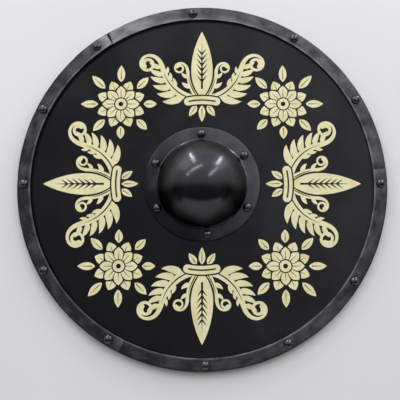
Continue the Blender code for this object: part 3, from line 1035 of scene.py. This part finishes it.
def uneven_finish(tree, place, millimetres, between, detail=3, fineness=0.5):
    """A pattern of blotches so many millimetres wide, and a roughness that follows it
    between two values, as on a surface that was finished by hand."""
    settings = {"Scale": blotches(millimetres), "Detail": detail, "Roughness": fineness}
    pattern = add_node(tree, "ShaderNodeTexNoise", settings, {"Vector": place})[0]
    settings = {1: 0.3, 2: 0.7, 3: between[0], 4: between[1]}
    return pattern, add_node(tree, "ShaderNodeMapRange", settings, {0: pattern})[0]


def fine_grain(tree, place, millimetres, depth, detail=2):
    """The normals of a surface with a fine grain, its width given in millimetres and
    its depth in metres. The grit of real steel is finer, and is drawn this coarse so
    that it shows."""
    settings = {"Scale": blotches(millimetres), "Detail": detail}
    grain = add_node(tree, "ShaderNodeTexNoise", settings, {"Vector": place})[0]
    return add_node(tree, "ShaderNodeBump", {"Distance": depth}, {"Height": grain})[0]


def black_board_paint():
    """Matt black oil paint, rolled on, with a fine stipple. A painted sheen greys it a little
    toward the upper right, and the rim's painted shadow lies on it as a near-black band,
    widest at the upper left."""
    material, tree, shader, place = new_material("matt_black_board_paint", {"Specular IOR Level": 0.06})
    cloud = add_node(tree, "ShaderNodeTexNoise", {"Scale": blotches(90), "Detail": 3}, {"Vector": place})[0]
    # Painted sheen: the paint is drawn greyer toward the upper right, added to the cloud's random tone
    settings = {"operation": "DOT_PRODUCT", 1: (1.2, 0.9, 0)}
    across = add_node(tree, "ShaderNodeVectorMath", settings, {0: place})["Value"]
    tone_and_painted_sheen = add_node(tree, "ShaderNodeMath", {}, {0: cloud, 1: across})[0]
    stops = [(0.1, "#19191c"), (0.5, "#212124"), (0.95, "#303034")]
    colour = add_node(tree, "ShaderNodeValToRGB", {"stops": stops}, {0: tone_and_painted_sheen})[0]
    # Painted shadow of the rim: a near-black band just inside it, widest at the upper left
    settings = {"operation": "DOT_PRODUCT", 1: (-0.0066, 0.0084, 0)}
    lean = add_node(tree, "ShaderNodeVectorMath", settings, {0: place})["Value"]
    out = add_node(tree, "ShaderNodeMath", {}, {0: from_middle(tree, place), 1: lean})[0]
    edge = add_node(tree, "ShaderNodeMapRange", {1: 0.2785, 2: 0.2822}, {0: out})[0]
    links = {0: edge, 6: colour}
    colour = add_node(tree, "ShaderNodeMix", {"data_type": "RGBA", 7: "#030304"}, links)[2]
    sheen, dull = uneven_finish(tree, place, 30, (0.5, 0.62))
    stipple = fine_grain(tree, place, 1.2, 0.00006)
    rolled = add_node(tree, "ShaderNodeBump", {"Distance": 0.0002}, {"Height": sheen, "Normal": stipple})[0]
    link(tree, shader, {"Base Color": colour, "Roughness": dull, "Normal": rolled})
    return material


def gold_board_paint():
    """Pale gold signwriting paint, brushed on: flat, a little uneven in its cover."""
    material, tree, shader, place = new_material("pale_gold_signwriting_paint", {"Specular IOR Level": 0.3})
    cover = add_node(tree, "ShaderNodeTexNoise", {"Scale": blotches(20), "Detail": 5}, {"Vector": place})[0]
    stops = [(0.25, "#dbd29f"), (0.5, "#e6dfb1"), (0.8, "#ede8c3")]
    colour = add_node(tree, "ShaderNodeValToRGB", {"stops": stops}, {0: cover})[0]
    dull = uneven_finish(tree, place, 8, (0.45, 0.6))[1]
    brushed = fine_grain(tree, place, 1.1, 0.00008, detail=3)
    link(tree, shader, {"Base Color": colour, "Roughness": dull, "Normal": brushed})
    return material


def black_back_paint():
    """One thin coat of black over planed softwood, whose grain still shows through.
    The grain is 2 mm wide and drawn out along X."""
    material, tree, shader, place = new_material("thin_black_paint_on_wood", {"Specular IOR Level": 0.3})
    drawn = add_node(tree, "ShaderNodeMapping", {"Scale": (0.05, 1.0, 1.0)}, {"Vector": place})[0]
    grain, dull = uneven_finish(tree, drawn, 2, (0.6, 0.75), detail=6, fineness=0.65)
    stops = [(0.35, "#18161a"), (0.65, "#2b2829"), (0.8, "#3a322c")]
    colour = add_node(tree, "ShaderNodeValToRGB", {"stops": stops}, {0: grain})[0]
    raised = add_node(tree, "ShaderNodeBump", {"Distance": 0.0005}, {"Height": grain})[0]
    link(tree, shader, {"Base Color": colour, "Roughness": dull, "Normal": raised})
    return material


def sawn_edge():
    """The sawn edges of the board, dark with paint that the plies drank unevenly.
    Each ply is 1.7 mm thick."""
    material, tree, shader, place = new_material("painted_plywood_edge", {"Roughness": 0.75})
    settings = {"bands_direction": "Z", "Scale": blotches(3.4) / pi, "Distortion": 0.6, "Detail": 2.0}
    plies = add_node(tree, "ShaderNodeTexWave", settings, {"Vector": place})[1]
    stops = [(0.2, "#1a1718"), (0.8, "#3b3027")]
    colour = add_node(tree, "ShaderNodeValToRGB", {"stops": stops}, {0: plies})[0]
    sawn = fine_grain(tree, place, 2, 0.0004)
    ridged = add_node(tree, "ShaderNodeBump", {"Distance": 0.0003}, {"Height": plies, "Normal": sawn})[0]
    link(tree, shader, {"Base Color": colour, "Normal": ridged})
    return material


def rim_steel():
    """Mild steel strip, smoke-blackened and rubbed back by hand: soft grey patches along it,
    filed paler at the laps. Painted light makes it lighter across the top and painted shade
    darker along the lower left and beside the seams; a painted highlight runs along its
    inner edge and painted shade along its outer bend."""
    material, tree, shader, place = new_material("smoke_blackened_mild_steel", {"Metallic": 1.0})
    strip = along_rim(tree, place, 1.8)
    patch, gloss = uneven_finish(tree, strip, 24, (0.55, 0.45))
    uneven = add_node(tree, "ShaderNodeMapRange", {1: 0.3, 2: 0.7, 3: -0.2, 4: 0.22}, {0: patch})[0]
    # Lightness from the attribute: wear where the laps were filed, painted light across the top, painted
    # shade along the lower left and beside the seams
    rubbed = add_node(tree, "ShaderNodeAttribute", {"attribute_name": "rubbed_back"})["Fac"]
    settings = {"operation": "MULTIPLY_ADD", 2: 0.75}
    gain = add_node(tree, "ShaderNodeMath", settings, {0: rubbed, 1: rubbed})[0]
    patched = add_node(tree, "ShaderNodeMath", {"operation": "MULTIPLY"}, {0: uneven, 1: gain})[0]
    share = add_node(tree, "ShaderNodeMath", {}, {0: rubbed, 1: patched})[0]
    stops = [(0.0, "#37373a"), (0.2, "#535356"), (0.5, "#717174"), (1.0, "#99999b")]
    colour = add_node(tree, "ShaderNodeValToRGB", {"stops": stops}, {0: share})[0]
    out = from_middle(tree, place)
    inside = SHIELD_RADIUS - RIM_WIDTH
    # Painted highlight along the inner edge, as if its bevel caught the light; it is weaker where the rim
    # is drawn darker
    most = add_node(tree, "ShaderNodeMapRange", {1: 0.02, 2: 0.2, 3: 0.35, 4: 0.85}, {0: rubbed})[0]
    bright = add_node(tree, "ShaderNodeMapRange", {1: 0.35, 2: 0.6, 3: 0.25}, {0: patch, 4: most})[0]
    settings = {1: inside + 0.0036, 2: inside + 0.0005}
    painted_inner_edge_highlight = add_node(tree, "ShaderNodeMapRange", settings, {0: out, 4: bright})[0]
    colour = add_node(tree, "ShaderNodeMix", {"data_type": "RGBA", 7: "#9a999d"}, {0: painted_inner_edge_highlight, 6: colour})[2]
    # Painted shade on the outer bend, deepening toward the edge
    settings = {1: SHIELD_RADIUS - 0.004, 2: SHIELD_RADIUS - 0.0005, 4: 0.45}
    bend = add_node(tree, "ShaderNodeMapRange", settings, {0: out})[0]
    colour = add_node(tree, "ShaderNodeMix", {"data_type": "RGBA", 7: "#262829"}, {0: bend, 6: colour})[2]
    rough = fine_grain(tree, place, 1.5, 0.0001)
    settings = {"Scale": blotches(9), "Detail": 2.0}
    marks = add_node(tree, "ShaderNodeTexNoise", settings, {"Vector": strip})[0]
    beaten = add_node(tree, "ShaderNodeBump", {"Distance": 0.0004}, {"Height": marks, "Normal": rough})[0]
    link(tree, shader, {"Base Color": colour, "Roughness": gloss, "Normal": beaten})
    return material


def boss_steel():
    """Spun steel, blackened in oil and polished: dark and glossy, with faint smears.
    Its foot and flange are duller, with painted shade toward the lower left and painted
    light toward the upper right, and the crease between them has kept its polish. Painted
    shade lies low on both flanks of the dome, standing in for the dark that they mirror."""
    material, tree, shader, place = new_material("oil_blackened_polished_steel", {"Metallic": 1.0})
    smear = add_node(tree, "ShaderNodeTexNoise", {"Scale": blotches(30), "Detail": 4}, {"Vector": place})[0]
    out = add_node(tree, "ShaderNodeMapRange", {2: 0.1}, {0: from_middle(tree, place)})[0]
    foot = add_node(tree, "ShaderNodeMapRange", {1: 0.5, 2: 0.68}, {0: out})[0]
    stops = [(0.3, "#49484c"), (0.7, "#545358")]
    dome = add_node(tree, "ShaderNodeValToRGB", {"stops": stops}, {0: smear})[0]
    # Painted light and shade on the foot and flange: lighter toward the upper right, darker toward the
    # lower left where the dome shades it; the smear's tone is random
    settings = {"operation": "DOT_PRODUCT", 1: (3.8, 4.5, 0)}
    upward = add_node(tree, "ShaderNodeVectorMath", settings, {0: place})["Value"]
    rubbed = add_node(tree, "ShaderNodeMath", {}, {0: smear, 1: upward})[0]
    stops = [(0.05, "#252528"), (0.33, "#39393c"), (0.45, "#454549"), (0.85, "#525256"), (1.0, "#5c5c60")]
    flange_smear_and_painted_shade = add_node(tree, "ShaderNodeValToRGB", {"stops": stops}, {0: rubbed})[0]
    colour = add_node(tree, "ShaderNodeMix", {"data_type": "RGBA"}, {0: foot, 6: dome, 7: flange_smear_and_painted_shade})[2]
    # Painted shade low on both flanks of the dome, standing in for the dark that they mirror
    spot = add_node(tree, "ShaderNodeSeparateXYZ", {}, {0: place})
    aside = add_node(tree, "ShaderNodeMath", {"operation": "ABSOLUTE"}, {0: spot["X"]})[0]
    settings = {"operation": "MULTIPLY_ADD", 1: 0.5}
    flank = add_node(tree, "ShaderNodeMath", settings, {0: spot["Y"], 2: aside})[0]
    flanks = add_node(tree, "ShaderNodeMapRange", {1: 0.019, 2: 0.034, 4: 0.85}, {0: flank})[0]
    low = add_node(tree, "ShaderNodeMapRange", {1: -0.002, 2: -0.018}, {0: spot["Y"]})[0]
    on_dome = add_node(tree, "ShaderNodeMapRange", {1: 0.77, 2: 0.74}, {0: out})[0]
    low_flanks = add_node(tree, "ShaderNodeMath", {"operation": "MULTIPLY"}, {0: flanks, 1: low})[0]
    painted_shade = add_node(tree, "ShaderNodeMath", {"operation": "MULTIPLY"}, {0: low_flanks, 1: on_dome})[0]
    colour = add_node(tree, "ShaderNodeMix", {"data_type": "RGBA", 7: "#101012"}, {0: painted_shade, 6: colour})[2]
    haze, gloss = uneven_finish(tree, place, 12, (0.15, 0.22), detail=5)
    stops = [(0.44, "#000000"), (0.62, "#898989"), (0.7, "#898989")]
    stops += [(0.735, "#000000"), (0.76, "#000000"), (0.79, "#898989")]
    dull = add_node(tree, "ShaderNodeValToRGB", {"stops": stops}, {0: out})[0]
    duller = add_node(tree, "ShaderNodeMath", {}, {0: dull, 1: gloss})[0]
    swell = add_node(tree, "ShaderNodeBump", {"Distance": 0.00006}, {"Height": haze})[0]
    link(tree, shader, {"Base Color": colour, "Roughness": duller, "Normal": swell})
    return material


def rivet_steel():
    """Round-head steel rivets, blackened and closed with a snap: glossy and dark."""
    material, tree, shader, place = new_material("black_snap_head_rivet_steel", {"Metallic": 1.0})
    smear, gloss = uneven_finish(tree, place, 4, (0.16, 0.24))
    stops = [(0.3, "#4a4a4d"), (0.7, "#68686c")]
    colour = add_node(tree, "ShaderNodeValToRGB", {"stops": stops}, {0: smear})[0]
    struck = fine_grain(tree, place, 1.2, 0.00005)
    link(tree, shader, {"Base Color": colour, "Roughness": gloss, "Normal": struck})
    return material


def forged_steel():
    """Hand-forged strap with its fire scale left on: matt, brown-black, with paler
    spots where the hand has rubbed it."""
    material, tree, shader, place = new_material("forge_scale_steel", {"Metallic": 1.0})
    scale, gloss = uneven_finish(tree, place, 6, (0.62, 0.42), detail=5, fineness=0.65)
    stops = [(0.3, "#2a2624"), (0.55, "#46423f"), (0.75, "#6a6561")]
    colour = add_node(tree, "ShaderNodeValToRGB", {"stops": stops}, {0: scale})[0]
    pitted = fine_grain(tree, place, 1.5, 0.00015)
    flaked = add_node(tree, "ShaderNodeBump", {"Distance": 0.0005}, {"Height": scale, "Normal": pitted})[0]
    link(tree, shader, {"Base Color": colour, "Roughness": gloss, "Normal": flaked})
    return material


# The floor, the lights and the camera


def build_floor():
    bm = bmesh.new()
    bmesh.ops.create_grid(bm, x_segments=8, y_segments=8, size=4)
    floor = new_piece("studio_floor", mesh_of("studio_floor", bm))
    settings = {"Roughness": 0.7, "Specular IOR Level": 0.2}
    material, tree, shader, place = new_material("pale_studio_floor", settings)
    cloud = add_node(tree, "ShaderNodeTexNoise", {"Scale": blotches(400)}, {"Vector": place})[0]
    stops = [(0.3, "#e4e4e5"), (0.7, "#e9e9ea")]
    colour = add_node(tree, "ShaderNodeValToRGB", {"stops": stops}, {0: cloud})[0]
    link(tree, shader, {"Base Color": colour})
    floor.data.materials.append(material)


def soft_light(name, place, target, size, brightness):
    """A rectangular light of an even brightness, which the camera itself can't see."""
    lamp = bpy.data.lights.new(name, "AREA")
    lamp.shape = "RECTANGLE"
    lamp.size, lamp.size_y = size
    lamp.energy = brightness * pi * size[0] * size[1]
    light = new_object(name, lamp)
    light.location = place
    light.rotation_euler = (Vector(target) - Vector(place)).to_track_quat("-Z", "Y").to_euler()
    light.visible_camera = False
    return light


def strip_light(name, start, end, width, brightness):
    """A slim tube of light between two points, turned to face the shield."""
    start, end = Vector(start), Vector(end)
    middle = (start + end) / 2
    light = soft_light(name, middle, (0, 0, 0), (width, (end - start).length), brightness)
    away = middle.normalized()
    along = (end - start).normalized()
    across = along.cross(away).normalized()
    along = away.cross(across)
    light.rotation_euler = Matrix((across, along, away)).transposed().to_euler()


def light_scene():
    """A pale room, bright beyond the shield's top and dim beyond its foot, with
    panels and tubes for the polished dome to mirror."""
    world = bpy.data.worlds.new("studio_air")
    bpy.context.scene.world = world
    world.use_nodes = True
    tree = world.node_tree
    way = add_node(tree, "ShaderNodeTexCoord")["Generated"]
    toward_top = add_node(tree, "ShaderNodeSeparateXYZ", {}, {0: way})["Y"]
    share = add_node(tree, "ShaderNodeMapRange", {1: -1.0, 2: 1.0}, {0: toward_top})[0]
    stops = [(0.25, "#4d4d4e"), (0.38, "#5f5f60"), (0.44, "#868687"), (0.5, "#bcbcbe")]
    stops += [(0.65, "#cbcbcd"), (0.75, "#e5e5e7"), (0.83, "#f5f5f7"), (1.0, "#ecedef")]
    walls = add_node(tree, "ShaderNodeValToRGB", {"stops": stops}, {0: share})[0]
    link(tree, tree.nodes["Background"], {"Color": walls})
    key = soft_light("key_softbox", (0.1, 0.75, 2.2), (0, 0.05, 0), (1.8, 1.4), 1.8)
    key.visible_glossy = False
    soft_light("front_panel", (0, -1.9, 0.85), (0, 0, 0.1), (4.4, 1.1), 0.45)
    soft_light("low_front_panel", (0, -1.9, 0.15), (0, 0, 0.1), (6.6, 0.3), 0.45)
    soft_light("left_glow", (-1.15, 1.2, 0.8), (0, 0, 0), (0.8, 1.0), 0.6)
    soft_light("right_glow", (1.15, 1.2, 0.65), (0, 0, 0), (0.7, 1.0), 0.6)
    strip_light("left_tube", (-0.66, 1.72, 0.13), (-0.53, 1.43, 1.08), 0.05, 30)
    strip_light("right_tube", (1.08, 1.5, 0.07), (1.0, 1.23, 0.99), 0.05, 30)
    strip_light("overhead_left_tube", (-1.16, 0.49, 1.39), (0.02, 1.23, 1.41), 0.03, 20)
    strip_light("overhead_right_tube", (0.56, 0.46, 1.73), (1.09, 0.99, 1.15), 0.03, 20)


def place_camera():
    lens = bpy.data.cameras.new("camera")
    lens.lens = 75.76
    lens.sensor_width = 36
    lens.clip_start = 0.05
    camera = new_object("camera", lens)
    camera.location = (0, -0.2408, 1.384)
    aim = Vector((-0.0033, -0.0253, 0.0049))
    ahead = (aim - camera.location).normalized()
    across = ahead.cross(Vector((0, 1, 0))).normalized()
    camera.rotation_euler = Matrix((across, across.cross(ahead), -ahead)).transposed().to_euler()
    bpy.context.scene.camera = camera
    bpy.context.scene.view_settings.view_transform = "Standard"


build_board([black_board_paint(), gold_board_paint(), black_back_paint(), sawn_edge()])
build_rim(rim_steel())
build_boss(boss_steel())
build_all_rivets(rivet_steel())
build_grip(forged_steel())
build_floor()
light_scene()
place_camera()
